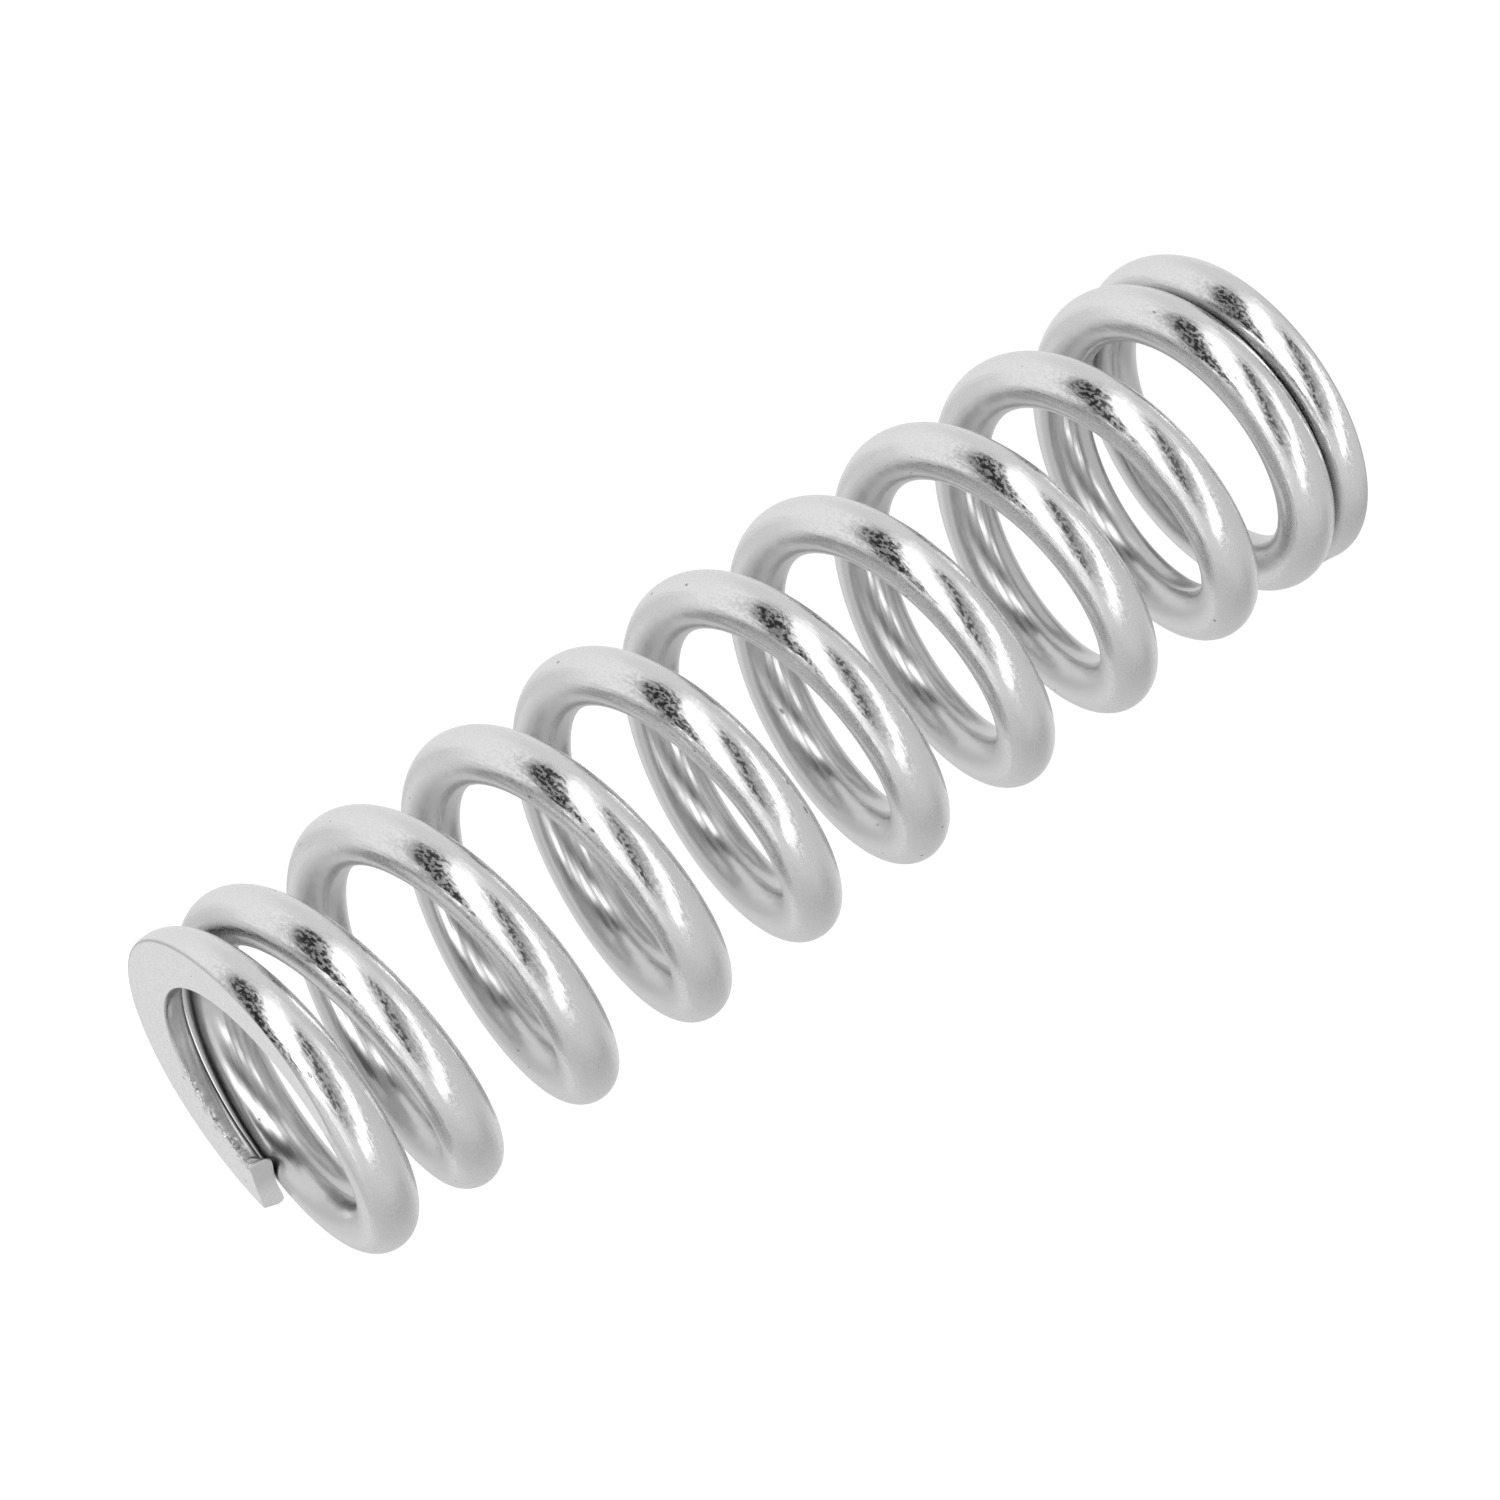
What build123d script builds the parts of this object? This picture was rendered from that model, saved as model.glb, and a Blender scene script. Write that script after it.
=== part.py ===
from build123d import *
from math import cos, pi, sin, sqrt
import os

# Helical compression spring, cold coiled from round zinc-plated wire and wound right-handed.
# Both ends are closed: the pitch falls towards each tip until the tip lies on the coil
# beside it. Both ends are then ground flat and square to the axis, which leaves each tip
# a thin, square-cut wedge. The spring stands on its lower ground end. The origin is the
# centre of that end, and +Z runs along the axis of the coil. All sizes are in millimetres.

# Coil
wire_diameter = 2.0
outer_diameter = 13.0
free_length = 45.0              # unloaded, from ground face to ground face
total_turns = 10.85             # from tip to tip

# Closed ends: next to the tip the coil keeps its closing pitch for the closed turns, and
# over the opening turns the pitch grows smoothly to that of the active coils
lower_closed_turns = 1.2
lower_opening_turns = 0.6
upper_closed_turns = 0.7
upper_opening_turns = 1.1
tip_clearance = 0.05            # between each tip and the coil that it lies on

# Ground ends: the thickness of wire that grinding leaves at each tip
lower_tip_thickness = 0.8
upper_tip_thickness = 0.7

# The centre line is built from this many spans in each turn, of two tangent arcs each
spans_per_turn = 4

wire_radius = wire_diameter / 2
mean_radius = outer_diameter / 2 - wire_radius


def closing(turns, closed, opening):
    """Share of the closing that is left so many turns from a tip: 1 there, 0 when open."""
    opened = min(max((turns - closed) / opening, 0), 1)
    return 1 - opened**2 * (3 - 2 * opened)


def closing_sum(turns, closed, opening):
    """Integral of closing from the tip, in turns."""
    opened = min(max((turns - closed) / opening, 0), 1)
    return min(turns, closed) + opening * (opened - opened**3 + opened**4 / 2)


def lower_sum(turns):
    """Closing summed from the lower tip."""
    return closing_sum(turns, lower_closed_turns, lower_opening_turns)


def upper_sum(turns):
    """Closing summed from the upper tip."""
    return closing_sum(turns, upper_closed_turns, upper_opening_turns)


# The turn next to a tip climbs by one wire and the clearance, and the rise of all turns
# gives the free length once both ends are ground. The active pitch and its drop at each
# tip follow from that.
closed_rise = wire_diameter + tip_clearance
full_rise = free_length + wire_diameter - lower_tip_thickness - upper_tip_thickness
lower_dead_turns = lower_sum(total_turns) / lower_sum(1)
upper_dead_turns = upper_sum(total_turns) / upper_sum(1)
dead_turns = lower_dead_turns + upper_dead_turns
active_pitch = (full_rise - dead_turns * closed_rise) / (total_turns - dead_turns)
lower_pitch_drop = (active_pitch - closed_rise) / lower_sum(1)
upper_pitch_drop = (active_pitch - closed_rise) / upper_sum(1)


def height(turn):
    """Height of the wire's centre above the lower ground face."""
    lower_loss = lower_pitch_drop * lower_sum(turn)
    upper_loss = upper_pitch_drop * (upper_sum(total_turns) - upper_sum(total_turns - turn))
    return lower_tip_thickness - wire_radius + active_pitch * turn - lower_loss - upper_loss


def pitch(turn):
    """Rise in each turn at that place."""
    lower_share = closing(turn, lower_closed_turns, lower_opening_turns)
    upper_share = closing(total_turns - turn, upper_closed_turns, upper_opening_turns)
    return active_pitch - lower_pitch_drop * lower_share - upper_pitch_drop * upper_share


def centre(turn):
    """Point on the wire's centre line, counted in turns from the lower tip."""
    angle = 2 * pi * turn
    return Vector(mean_radius * cos(angle), mean_radius * sin(angle), height(turn))


def heading(turn):
    """Direction of the wire, up the coil."""
    angle = 2 * pi * turn
    around = 2 * pi * mean_radius
    return Vector(-around * sin(angle), around * cos(angle), pitch(turn)).normalized()


def tangent_arcs(start, end):
    """Two arcs that follow the helix over one span and run smoothly into the next spans."""
    first, last = centre(start), centre(end)
    leaving, arriving = heading(start), heading(end)
    chord = last - first
    along = chord.dot(leaving + arriving)
    bend = 2 * (1 - leaving.dot(arriving))
    # Each arc's tangents meet at a corner, and this reach puts the two arcs' joint midway
    reach = (sqrt(along**2 + bend * chord.dot(chord)) - along) / bend
    first_corner = first + leaving * reach
    last_corner = last - arriving * reach
    joint = (first_corner + last_corner) / 2
    return [
        Edge.make_tangent_arc(first, leaving, joint),
        Edge.make_tangent_arc(joint, last_corner - first_corner, last),
    ]


def coiled_wire():
    """The round wire, coiled along its centre line and cut square at both tips."""
    span_count = round(total_turns * spans_per_turn)
    cuts = [total_turns * index / span_count for index in range(span_count + 1)]
    spans = [tangent_arcs(start, end) for start, end in zip(cuts, cuts[1:])]
    centre_line = Wire([arc for span in spans for arc in span])
    tip = Plane(origin=centre(0), x_dir=(1, 0, 0), z_dir=heading(0))
    return sweep((tip * Circle(wire_radius)).face(), path=centre_line, is_frenet=True)


def between_wheels():
    """The space that two grinding wheels leave, one free length apart."""
    width = 2 * outer_diameter
    return Pos(0, 0, free_length / 2) * Box(width, width, free_length)


def spring():
    """The finished spring, ground at both ends."""
    return (coiled_wire() & between_wheels()).solid()


os.makedirs("parts", exist_ok=True)
export_step(spring(), "parts/spring.step")
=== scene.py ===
from math import atan2, ceil, cos, hypot, pi, radians, sin, sqrt, tau

import bpy
import numpy as np
from mathutils import Matrix, Vector, noise


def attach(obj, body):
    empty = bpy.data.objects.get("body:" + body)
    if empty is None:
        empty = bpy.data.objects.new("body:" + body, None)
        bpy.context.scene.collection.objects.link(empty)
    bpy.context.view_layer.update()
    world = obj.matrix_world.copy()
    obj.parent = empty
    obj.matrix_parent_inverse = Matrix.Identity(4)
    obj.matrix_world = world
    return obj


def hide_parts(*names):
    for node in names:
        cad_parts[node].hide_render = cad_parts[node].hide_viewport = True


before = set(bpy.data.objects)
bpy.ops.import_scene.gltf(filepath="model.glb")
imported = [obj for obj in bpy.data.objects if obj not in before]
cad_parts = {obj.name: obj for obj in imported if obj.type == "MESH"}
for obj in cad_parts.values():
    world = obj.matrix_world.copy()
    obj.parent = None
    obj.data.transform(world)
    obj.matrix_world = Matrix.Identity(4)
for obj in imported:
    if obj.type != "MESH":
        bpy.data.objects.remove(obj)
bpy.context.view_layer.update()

# A helical compression spring of cold coiled zinc-plated wire, with closed and ground ends.
# Lengths are in millimetres up to the mesh, which is made in metres.
mm = 0.001

# The coil, with the same named values as the solid
wire_diameter = 2.0
outer_diameter = 13.0
free_length = 45.0
total_turns = 10.85
lower_closed_turns = 1.2
lower_opening_turns = 0.6
upper_closed_turns = 0.7
upper_opening_turns = 1.1
tip_clearance = 0.05
lower_tip_thickness = 0.8
upper_tip_thickness = 0.7

wire_radius = wire_diameter / 2
mean_radius = outer_diameter / 2 - wire_radius


def closing(turns, closed, opening):
    """Share of a closed coil that is left so many turns from its tip."""
    opened = np.clip((turns - closed) / opening, 0, 1)
    return 1 - opened**2 * (3 - 2 * opened)


def closing_sum(turns, closed, opening):
    """Turns of closed coil in so many turns from the tip."""
    opened = np.clip((turns - closed) / opening, 0, 1)
    return np.minimum(turns, closed) + opening * (opened - opened**3 + opened**4 / 2)


def lower_sum(turns):
    return closing_sum(turns, lower_closed_turns, lower_opening_turns)


def upper_sum(turns):
    return closing_sum(turns, upper_closed_turns, upper_opening_turns)


closed_rise = wire_diameter + tip_clearance
full_rise = free_length + wire_diameter - lower_tip_thickness - upper_tip_thickness
lower_dead_turns = lower_sum(total_turns) / lower_sum(1)
upper_dead_turns = upper_sum(total_turns) / upper_sum(1)
dead_turns = lower_dead_turns + upper_dead_turns
active_pitch = (full_rise - dead_turns * closed_rise) / (total_turns - dead_turns)
lower_pitch_drop = (active_pitch - closed_rise) / lower_sum(1)
upper_pitch_drop = (active_pitch - closed_rise) / upper_sum(1)

# Length of wire in a turn, which turns a place on the wire into a distance along it
wire_per_turn = hypot(tau * mean_radius, active_pitch)


def height(turn):
    """Height of the wire's centre above the lower ground face."""
    lower_loss = lower_pitch_drop * lower_sum(turn)
    upper_loss = upper_pitch_drop * (upper_sum(total_turns) - upper_sum(total_turns - turn))
    return lower_tip_thickness - wire_radius + active_pitch * turn - lower_loss - upper_loss


def pitch(turn):
    lower_share = closing(turn, lower_closed_turns, lower_opening_turns)
    upper_share = closing(total_turns - turn, upper_closed_turns, upper_opening_turns)
    return active_pitch - lower_pitch_drop * lower_share - upper_pitch_drop * upper_share


# The mesh of the wire: rings of points, each in a plane square to the wire
rings_per_turn = 132
half_arc_steps = 22        # down each side of the wire, from its top to its underside
flat_shares = (0, 0.5, 0.7, 0.85)      # where points lie across half a flat
break_steps = 3
edge_break = 0.06          # radius that grinding and plating leave on the edges of the flats
edge_support = 0.03        # how far the flat's own edge points lie inside the edge break
flat_limit = 0.97          # share of the wire's radius below which a flat has edges
same_place = 1e-6          # points of a ring that lie closer than this share a vertex

# More rings lie near the place where a flat runs out, so many turns to either side of it
run_out_turns = 0.012
run_out_rings = 17
search_steps = 40001

# The cut at each tip slants back on the inner side, has a lip on the underside and a worn edge
tip_slant = 0.8
tip_lip = 0.2
tip_wear = 0.04
tip_reach = 1.7            # length of wire whose rings lean towards the cut
cap_scales = (0.9, 0.75, 0.5, 0.25)

# The shear presses the wire squarer next to the cut
squared_length = 0.7
squared_depth = 0.3        # depth under the flat over which this sets in
squared_power = 8
squared_drag = 0.2

# Grinding leaves chips and burr along the flat's inner edge near the tip, full up to the
# core distance from that edge and faded out over the fade distance beyond it
ragged_length = 6.0
ragged_rings = 110
ragged_core = 0.09
ragged_fade = 0.3
chip_depth = 0.18
chip_share_inwards = 0.5
burr_height = 0.26
coarse_along = 2.4
coarse_across = 4
fine_scale = 7
fine_share = 0.6

# Shares that the material reads: the flat's outer edge, the ground flat itself, and the
# creases between closed coils, where the wire faces the next coil across a small gap, which the
# material darkens as painted shade
outer_edge_width = 0.12
ground_skin = 0.01
crease_gap = 0.9
crease_start = 0.7


def flat_side(rest):
    """Outer half of a section's top, from its middle, ground off at rest above the centre."""
    rest = min(rest, wire_radius)
    low = rest - edge_break
    half = sqrt(max((wire_radius - edge_break) ** 2 - low**2, 0))
    turn_in = atan2(low, half)
    inset = min(edge_support, half / 4)
    points = [(share * half, rest) for share in flat_shares] + [(half - inset, rest)]
    for angle in np.linspace(pi / 2, turn_in, break_steps + 1):
        points.append((half + edge_break * cos(angle), low + edge_break * sin(angle)))
    return points, turn_in


def section(above, below):
    """Points of a wire section as (outwards, up), from its top round by the outer side.
    It is ground off where the ground faces lie, above and below its centre."""
    top, top_turn = flat_side(above)
    bottom, bottom_turn = flat_side(below)
    arc = np.linspace(top_turn, -bottom_turn, half_arc_steps + 1)[1:-1]
    outer = top + [(wire_radius * cos(a), wire_radius * sin(a)) for a in arc]
    outer += [(x, -y) for x, y in reversed(bottom)]
    inner = [(-x, y) for x, y in reversed(outer[1:-1])]
    return np.array(outer + inner)


def axes_at(turn):
    """Centre of the wire there, and its directions outwards, up and ahead."""
    angle = tau * turn
    lead = atan2(pitch(turn), tau * mean_radius)
    outwards = np.array((cos(angle), sin(angle), 0))
    upwards = np.array((sin(lead) * sin(angle), -sin(lead) * cos(angle), cos(lead)))
    ahead = np.array((-cos(lead) * sin(angle), cos(lead) * cos(angle), sin(lead)))
    centre = mean_radius * outwards + np.array((0, 0, height(turn)))
    return centre, outwards, upwards, ahead


def section_at(turn):
    lead = atan2(pitch(turn), tau * mean_radius)
    return section((free_length - height(turn)) / cos(lead), height(turn) / cos(lead))


def ring_turns():
    """Where the rings lie along the wire: evenly, and closer near the tips and where flats run out."""
    turns = list(np.linspace(0, total_turns, ceil(total_turns * rings_per_turn) + 1))
    near_tip = np.linspace(0, ragged_length / wire_per_turn, ragged_rings)
    turns += list(near_tip) + list(total_turns - near_tip)
    fine = np.linspace(0, total_turns, search_steps)
    lead_cos = np.cos(np.arctan(pitch(fine) / (tau * mean_radius)))
    for rest in (height(fine), free_length - height(fine)):
        for place in fine[:-1][np.diff(rest > wire_radius * lead_cos)]:
            turns += list(place + np.linspace(-run_out_turns, run_out_turns, run_out_rings))
    return np.unique(np.clip(turns, 0, total_turns))


def flat_rest(turn, side):
    """How far the ground face lies from the wire's centre: underneath where side is -1, else on top."""
    lead_cos = cos(atan2(pitch(turn), tau * mean_radius))
    return (height(turn) if side < 0 else free_length - height(turn)) / lead_cos


def tip_shift(back, side, x, y):
    """How far a point moves ahead to meet the cut, at so much wire back from the tip.
    Side is 1 where the flat is on top and -1 where it is underneath."""
    share = max(0, 1 - back / tip_reach)
    inner = (wire_radius - x) / (2 * wire_radius)
    under = min(max(-side * y / wire_radius, 0), 1)
    return share * (tip_lip * under - tip_slant * inner)


def squared(back, side, x, y, rest):
    """The point as the shear leaves it, pressed squarer away from the flat."""
    below = min(max((rest - side * y) / squared_depth, 0), 1)
    angle = atan2(y, x)
    square = (cos(angle) ** squared_power + sin(angle) ** squared_power) ** (-1 / squared_power)
    near = max(0, 1 - back / squared_length)
    press = 1 + (square - 1) * below * near
    drag = 1 + squared_drag * x**2 * below * near
    return x * press, y * press * drag


def ragged(back, side, x, y, rest):
    """Chips and burr: the point moved, if it lies on the flat's inner edge near the tip."""
    low = rest - edge_break
    corner = -edge_break - sqrt(max((wire_radius - edge_break) ** 2 - low**2, 0))
    distance = hypot(x - corner, side * y - rest)
    near = min(max(0, 1 + ragged_core / ragged_fade - distance / ragged_fade), 1)
    fading = max(0, 1 - back / ragged_length)
    if near * fading == 0:
        return x, y
    coarse = noise.noise(Vector((coarse_along * back, coarse_across * x, side)))
    fine = noise.noise(Vector((fine_scale * back, fine_scale * x, side)))
    rough = coarse + fine_share * fine
    near *= sqrt(fading)
    chip = chip_depth * near * max(rough, 0)
    burr = burr_height * near * max(-rough, 0)
    return x + chip_share_inwards * chip - burr, y - side * chip


def outer_edge(side, x, y, rest):
    """How near the point lies to the flat's outer edge."""
    low = rest - edge_break
    corner = edge_break + sqrt(max((wire_radius - edge_break) ** 2 - low**2, 0))
    return max(0, 1 - hypot(x - corner, side * y - rest) / outer_edge_width)


def gap_share(turn, other):
    """How nearly the wire there touches the coil at other: 1 where it does, 0 where it is clear."""
    if not 0 <= other <= total_turns:
        return 0
    gap = abs(height(other) - height(turn)) - wire_diameter
    return min(max(1 - gap / crease_gap, 0), 1)


def ring_at(turn):
    """Points of the ring there, and the same points laid out straight, with the material's shares."""
    backs = (turn * wire_per_turn, (total_turns - turn) * wire_per_turn)
    touching = (gap_share(turn, turn - 1), gap_share(turn, turn + 1))
    across = section_at(turn)
    points, laid = [], []
    for k, (x, y) in enumerate(across):
        place = turn
        for back, side in zip(backs, (-1, 1)):
            if back < tip_reach:
                pressed = squared(back, side, x, y, flat_rest(turn, side))
                place += side * tip_shift(back, side, *pressed) / wire_per_turn
        if place != turn:
            x, y = section_at(place)[k]
        edge, ground = 0, 0
        for back, side in zip(backs, (-1, 1)):
            rest = flat_rest(place, side)
            if rest > flat_limit * wire_radius:
                continue
            edge = max(edge, outer_edge(side, x, y, rest))
            ground = max(ground, float(side * y > rest - ground_skin))
            if back < squared_length:
                x, y = squared(back, side, x, y, rest)
            if back < ragged_length:
                x, y = ragged(back, side, x, y, rest)
        centre, outwards, upwards, ahead = axes_at(place)
        points.append(centre + x * outwards + y * upwards)
        # The crease share marks where painted shade darkens the wire, on its side facing a nearly
        # touching coil
        facing = min(max((abs(y) / wire_radius - crease_start) / (1 - crease_start), 0), 1)
        laid.append((place * wire_per_turn, x, y, edge, facing * touching[y > 0], ground))
    return np.array(points), np.array(laid)


def build_wire():
    """Points, the same points laid out straight, and faces."""
    turns = ring_turns()
    rings, laid = [], []
    for turn in turns:
        ring, straight_ring = ring_at(turn)
        rings.append(ring)
        laid.append(straight_ring)
    rings = np.array(rings)
    laid = np.array(laid)
    apart = np.linalg.norm(rings - np.roll(rings, 1, axis=1), axis=2) > same_place
    counts = apart.sum(axis=1)
    starts = np.concatenate(((0,), np.cumsum(counts)[:-1]))
    index = (np.cumsum(apart, axis=1) - 1) % counts[:, None] + starts[:, None]
    points = list(rings[apart])
    straight = list(laid[apart])
    ahead_index = np.roll(index, -1, axis=1)
    faces = []
    for row in range(len(turns) - 1):
        for corners in zip(index[row], ahead_index[row], ahead_index[row + 1], index[row + 1]):
            kept = tuple(dict.fromkeys(int(c) for c in corners))
            if len(kept) > 2:
                faces.append(kept)
    for row, forward in ((0, False), (-1, True)):
        rim = [int(i) for i in dict.fromkeys(index[row])]
        faces += cap(rim, forward, points, straight)
    return np.array(points), np.array(straight), faces


def cap(rim, forward, points, straight):
    """Faces that close the wire at a tip: a worn edge, then rings that shrink to the cut's middle."""
    rim_points = np.array([points[i] for i in rim])
    rim_straight = np.array([straight[i] for i in rim])
    rim_straight[:, 3:] = 0
    middle = rim_points.mean(axis=0)
    middle_straight = rim_straight.mean(axis=0)
    ahead = axes_at(total_turns if forward else 0)[3] * (1 if forward else -1)
    square_to_cut = np.linalg.svd(rim_points - middle)[2][2]
    evened = rim_points - np.outer((rim_points - middle) @ square_to_cut, square_to_cut)
    rings = []
    for scale in (1 - tip_wear, *cap_scales):
        shrunk = middle + scale * (evened - middle) + tip_wear * ahead
        shrunk_straight = middle_straight + scale * (rim_straight - middle_straight)
        rings.append((shrunk, shrunk_straight))
    faces = []
    last = rim
    for ring, ring_straight in rings:
        now = list(range(len(points), len(points) + len(rim)))
        points += list(ring)
        straight += list(ring_straight)
        for k in range(len(rim)):
            n = (k + 1) % len(rim)
            faces.append((last[k], last[n], now[n], now[k]))
        last = now
    points.append(middle + tip_wear * ahead)
    straight.append(middle_straight)
    hub = len(points) - 1
    for k in range(len(rim)):
        faces.append((last[k], last[(k + 1) % len(rim)], hub))
    return faces if forward else [tuple(reversed(f)) for f in faces]


sharp_angle = radians(40)


def make_spring():
    points, straight, faces = build_wire()
    mesh = bpy.data.meshes.new("helical_spring")
    mesh.from_pydata((points * mm).tolist(), [], faces)
    mesh.validate()
    laid_out = mesh.attributes.new("straight_wire", "FLOAT_VECTOR", "POINT")
    laid_out.data.foreach_set("vector", (straight[:, :3] * mm).astype(np.float32).ravel())
    for column, name in ((3, "ground_edge"), (4, "crease"), (5, "ground_flat")):
        share = mesh.attributes.new(name, "FLOAT", "POINT")
        share.data.foreach_set("value", straight[:, column].astype(np.float32))
    mesh.shade_smooth()
    mesh.set_sharp_from_angle(angle=sharp_angle)
    piece = bpy.data.objects.new("helical_spring", mesh)
    bpy.context.scene.collection.objects.link(piece)
    return piece


# Camera, at the photograph's viewing angle
aim = Vector((-0.061, -0.009, 23.387)) * mm
camera_azimuth = radians(98.543)
camera_elevation = radians(23.495)
camera_distance = 166.114 * mm
camera_roll = radians(125.387)
camera_lens = 117.046      # focal length in mm, and next the sensor's width
camera_sensor = 36
camera_nearest = 5 * mm
camera_furthest = 20000 * mm

toward_camera = Vector((
    cos(camera_elevation) * cos(camera_azimuth),
    cos(camera_elevation) * sin(camera_azimuth),
    sin(camera_elevation),
))


def tilted_axes(roll):
    """Right and up as seen along the view, turned by roll."""
    level_up = (Vector((0, 0, 1)) - toward_camera * toward_camera.z).normalized()
    level_right = level_up.cross(toward_camera)
    up = cos(roll) * level_up - sin(roll) * level_right
    return up.cross(toward_camera), up


def make_camera():
    right, up = tilted_axes(-camera_roll)
    data = bpy.data.cameras.new("camera")
    data.lens = camera_lens
    data.sensor_width = camera_sensor
    data.clip_start = camera_nearest
    data.clip_end = camera_furthest
    camera = bpy.data.objects.new("camera", data)
    rotation = Matrix((right, up, toward_camera)).transposed()
    camera.matrix_world = Matrix.LocRotScale(aim + toward_camera * camera_distance, rotation, None)
    bpy.context.scene.collection.objects.link(camera)
    bpy.context.scene.camera = camera


class Nodes:
    """Short calls that add nodes to a tree and link them."""

    def __init__(self, tree):
        self.tree = tree
        tree.nodes.clear()

    def add(self, kind, inputs=(), **settings):
        node = self.tree.nodes.new("ShaderNode" + kind)
        for name, value in settings.items():
            setattr(node, name, value)
        for name, value in dict(inputs).items():
            if isinstance(value, bpy.types.NodeSocket):
                self.tree.links.new(value, node.inputs[name])
            else:
                node.inputs[name].default_value = value
        return node

    def math(self, operation, *values):
        return self.add("Math", dict(enumerate(values)), operation=operation).outputs[0]

    def blend(self, value, low, high, to_low=0.0, to_high=1.0, kind="SMOOTHSTEP"):
        inputs = {"Value": value, "From Min": low, "From Max": high}
        inputs |= {"To Min": to_low, "To Max": to_high}
        return self.add("MapRange", inputs, interpolation_type=kind).outputs["Result"]


# Zinc plate. Each noise has its waves to a metre along the wire and across it, and its detail
stroke_noise = (1500, 8000, 1.0)
grain_noise = (6500, 11000, 1.0)
peel_noise = (1000, 1500, 1.0)
line_noise = (200, 9000, 2.0)
pit_noise = (2600, 4200, 0.0)
peel_depth = 0.020 * mm
line_depth = 0.006 * mm
stroke_depth = 0.010 * mm
pit_depth = 0.010 * mm

# Coiling stretches the wire's outer side, which roughens it, and presses the inner side smooth.
# One changes into the other between these distances outwards from the wire's centre, and so does the
# painted shade that darkens the inner side
pressed_up_to = -0.3 * mm
stretched_from = 0.5 * mm
# The inner side, which faces into the coil, is painted darker as painted shade; the outer side and the
# ground flats keep the plate's own shade
inner_painted_shade = 0.66
plate_shade = 0.81
pressed_roughness = 0.25
stretched_roughness = (0.15, 0.31)

# Between these levels of the noise or of the edge's share, grain, pits and edge set in
grain_levels = (0.38, 0.62)
pit_levels = (0.85, 0.89)
edge_levels = (0.1, 0.8)
pit_shade = 0.35
edge_darkening = 0.7       # what is left of the plate's shade on the edge, and in the creases
# In the creases the plate is painted darker: painted shade where the next coil shades the wire
crease_painted_shade = 0.6


def make_zinc():
    """Bright zinc plate on drawn wire: grain, drawing lines along the wire, and pits."""
    material = bpy.data.materials.new("zinc_plate")
    material.use_nodes = True
    n = Nodes(material.node_tree)
    laid_out = n.add("Attribute", attribute_name="straight_wire").outputs["Vector"]

    def noise_along(along, across, detail):
        inputs = {0: laid_out, 1: (along, across, across)}
        place = n.add("VectorMath", inputs, operation="MULTIPLY").outputs["Vector"]
        return n.add("TexNoise", {"Vector": place, "Scale": 1.0, "Detail": detail}).outputs["Fac"]

    def share_of(name):
        return n.add("Attribute", attribute_name=name).outputs["Fac"]

    def bump(height, depth, before=None):
        inputs = {"Height": height, "Strength": 1.0, "Distance": depth}
        if before:
            inputs["Normal"] = before
        return n.add("Bump", inputs).outputs["Normal"]

    outwards = n.add("SeparateXYZ", {"Vector": laid_out}).outputs["Y"]
    # The wire's outer side and its ground flats: rougher, and free of the painted shade that darkens
    # the inner side
    rounded = n.blend(outwards, pressed_up_to, stretched_from)
    stretched_and_unshaded = n.math("MAXIMUM", rounded, share_of("ground_flat"))
    strokes = n.math("SUBTRACT", noise_along(*stroke_noise), 0.5)
    pits = n.blend(noise_along(*pit_noise), *pit_levels)
    normal = bump(noise_along(*peel_noise), peel_depth)
    normal = bump(noise_along(*line_noise), line_depth, normal)
    normal = bump(n.math("MULTIPLY", strokes, stretched_and_unshaded), stroke_depth, normal)
    normal = bump(n.math("MULTIPLY", pits, -1.0), pit_depth, normal)
    edge = n.blend(share_of("ground_edge"), *edge_levels)
    # Painted shade: the inner side of the wire, facing into the coil, is darker than the plate's own
    # shade on the outer side and the flats
    plate_and_painted_shade = n.blend(stretched_and_unshaded, 0, 1, inner_painted_shade, plate_shade, "LINEAR")
    plate_and_painted_shade = n.math("MULTIPLY", plate_and_painted_shade, n.blend(edge, 0, 1, 1, edge_darkening, "LINEAR"))
    # Painted shade in the creases between closed coils
    plate_and_painted_shade = n.math("MULTIPLY", plate_and_painted_shade, n.blend(share_of("crease"), 0, 1, 1, crease_painted_shade))
    shade = n.blend(pits, 0, 1, plate_and_painted_shade, pit_shade, "LINEAR")
    colour = n.add("CombineColor", {"Red": shade, "Green": shade, "Blue": shade}).outputs["Color"]
    matt = n.blend(noise_along(*grain_noise), *grain_levels, *stretched_roughness)
    inputs = {"Factor": stretched_and_unshaded, "A": pressed_roughness, "B": matt}
    rough = n.add("Mix", inputs).outputs["Result"]
    inputs = {"Base Color": colour, "Metallic": 1.0, "Roughness": rough, "Normal": normal}
    shader = n.add("BsdfPrincipled", inputs)
    n.add("OutputMaterial", {"Surface": shader.outputs[0]})
    return material


# Studio light, laid out by heading to the right of the lens and height above it, in degrees,
# with the studio tilted a little against the picture. The tent's brightness is given at
# headings round its middle and round its top and bottom, and blends over the heights between
studio_tilt = radians(20)
tent_middle = (
    (-180, 0.85), (-150, 0.85), (-75, 0.93), (-64, 0.88), (-59, 0.01), (-37, 0.01),
    (-30, 0.8), (-25, 3.0), (-13, 3.0), (-8, 1.1), (2, 0.55), (6, 0.04),
    (15, 0.04), (19, 0.40), (31, 0.55), (39, 0.75), (44, 2.8), (50, 2.8),
    (55, 0.75), (61, 0.64), (75, 0.68), (120, 0.62), (146, 0.74), (180, 0.85),
)
tent_poles = (
    (-180, 0.75), (-75, 0.75), (-62, 0.65), (-50, 0.65), (-40, 0.78), (-30, 1.05), (-8, 1.1),
    (4, 0.95), (14, 0.77), (30, 0.74), (50, 0.76), (70, 0.70), (100, 0.62), (180, 0.75),
)
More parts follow.
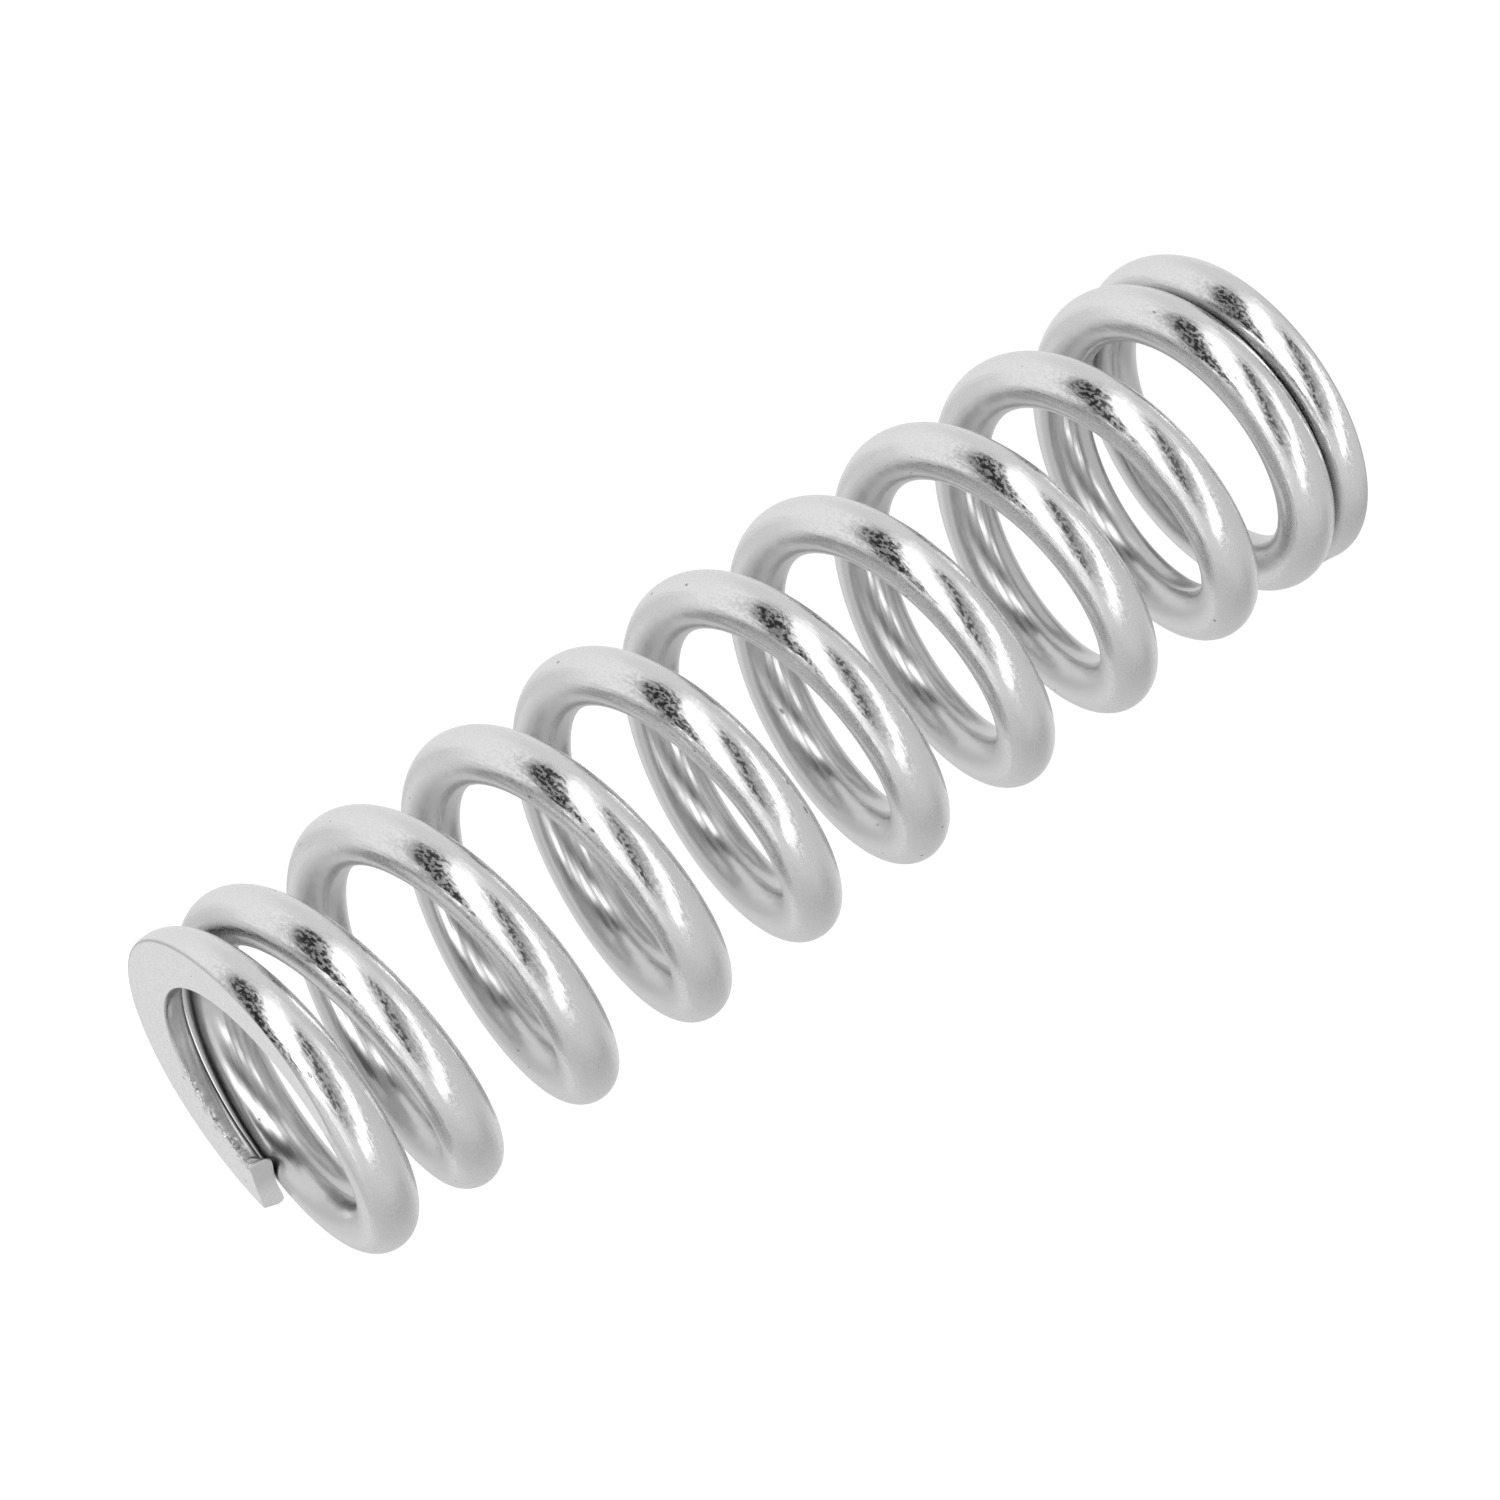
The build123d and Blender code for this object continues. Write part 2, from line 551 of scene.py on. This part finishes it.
top_heights = (36, 62)
bottom_heights = (-34, -60)

# The lower back of the tent, beyond the spring, is darker. It sets in between these cosines of
# the angle to the lens and between these heights
back_cosines = (0.0, -0.4)
back_heights = (6, -14)
back_shade = 0.21

# The tent is brighter round the direction that the upper flat shows the lens, growing from the
# first to the second angle from it, in degrees
flat_glow_angles = (24, 8)
flat_glow = 0.19


def make_studio():
    """A pale tent with two long soft boxes, one beside the lens, and two dark gaps."""
    right, up = tilted_axes(-camera_roll - studio_tilt)
    world = bpy.data.worlds.new("studio")
    world.use_nodes = True
    bpy.context.scene.world = world
    n = Nodes(world.node_tree)
    direction = n.add("TexCoord").outputs["Generated"]
    parts = []
    for axis in (right, toward_camera, up):
        part = n.add("VectorMath", {0: direction, 1: axis}, operation="DOT_PRODUCT")
        parts.append(part.outputs["Value"])
    heading = n.math("DEGREES", n.math("ARCTAN2", parts[0], parts[1]))
    above = n.math("DEGREES", n.math("ARCSINE", parts[2]))
    turned = n.blend(heading, -180, 180, 0, 1, "LINEAR")

    def ramp(levels):
        """Brightness by heading."""
        node = n.add("ValToRGB", {"Fac": turned})
        stops = node.color_ramp.elements
        while len(stops) < len(levels):
            stops.new(0.5)
        for stop, (at, level) in zip(stops, levels):
            stop.position = (at + 180) / 360
            stop.color = (level, level, level, 1)
        return node.outputs["Color"]

    ends = n.math("MAXIMUM", n.blend(above, *top_heights), n.blend(above, *bottom_heights))
    inputs = {"Factor": ends, "A": ramp(tent_middle), "B": ramp(tent_poles)}
    light = n.add("Mix", inputs, data_type="RGBA").outputs["Result"]
    back = n.blend(parts[1], *back_cosines)
    shaded = n.math("MULTIPLY", back, n.blend(above, *back_heights, 0.0, back_shade))
    in_flat = Vector((-toward_camera.x, -toward_camera.y, toward_camera.z))
    by_flat = n.add("VectorMath", {0: direction, 1: in_flat}, operation="DOT_PRODUCT")
    near_flat = [cos(radians(angle)) for angle in flat_glow_angles]
    gain = n.blend(by_flat.outputs["Value"], *near_flat, 0.0, flat_glow)
    lit = n.math("SUBTRACT", 1.0, n.math("SUBTRACT", shaded, gain))
    light = n.add("VectorMath", {0: light, "Scale": lit}, operation="SCALE").outputs["Vector"]
    seen = n.add("LightPath").outputs["Is Camera Ray"]
    inputs = {"Factor": seen, "A": light, "B": (1, 1, 1, 1)}
    colour = n.add("Mix", inputs, data_type="RGBA").outputs["Result"]
    background = n.add("Background", {"Color": colour, "Strength": 1.0}).outputs[0]
    n.add("OutputWorld", {"Surface": background})


# Floor, as glowing white mixed with matt grey that takes the shadow
floor_reach = 600 * mm
floor_drop = 0.02 * mm
floor_grey = (0.9, 0.9, 0.9, 1)
floor_glow = 1.1
floor_glow_share = 0.88


def make_floor():
    """A plain pale floor: white, with a faint shadow of the spring."""
    mesh = bpy.data.meshes.new("floor")
    ways = ((-1, -1), (1, -1), (1, 1), (-1, 1))
    corners = [(x * floor_reach, y * floor_reach, -floor_drop) for x, y in ways]
    mesh.from_pydata(corners, [], [(0, 1, 2, 3)])
    floor = bpy.data.objects.new("floor", mesh)
    bpy.context.scene.collection.objects.link(floor)
    floor.visible_glossy = False
    material = bpy.data.materials.new("floor")
    material.use_nodes = True
    n = Nodes(material.node_tree)
    matte = n.add("BsdfDiffuse", {"Color": floor_grey}).outputs[0]
    white = n.add("Emission", {"Color": (1, 1, 1, 1), "Strength": floor_glow}).outputs[0]
    surface = n.add("MixShader", {0: floor_glow_share, 1: matte, 2: white}).outputs[0]
    n.add("OutputMaterial", {"Surface": surface})
    mesh.materials.append(material)


spring = make_spring()
spring.data.materials.append(make_zinc())
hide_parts("spring")
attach(spring, "root")

make_floor()
make_studio()
make_camera()
bpy.context.scene.view_settings.view_transform = "Standard"
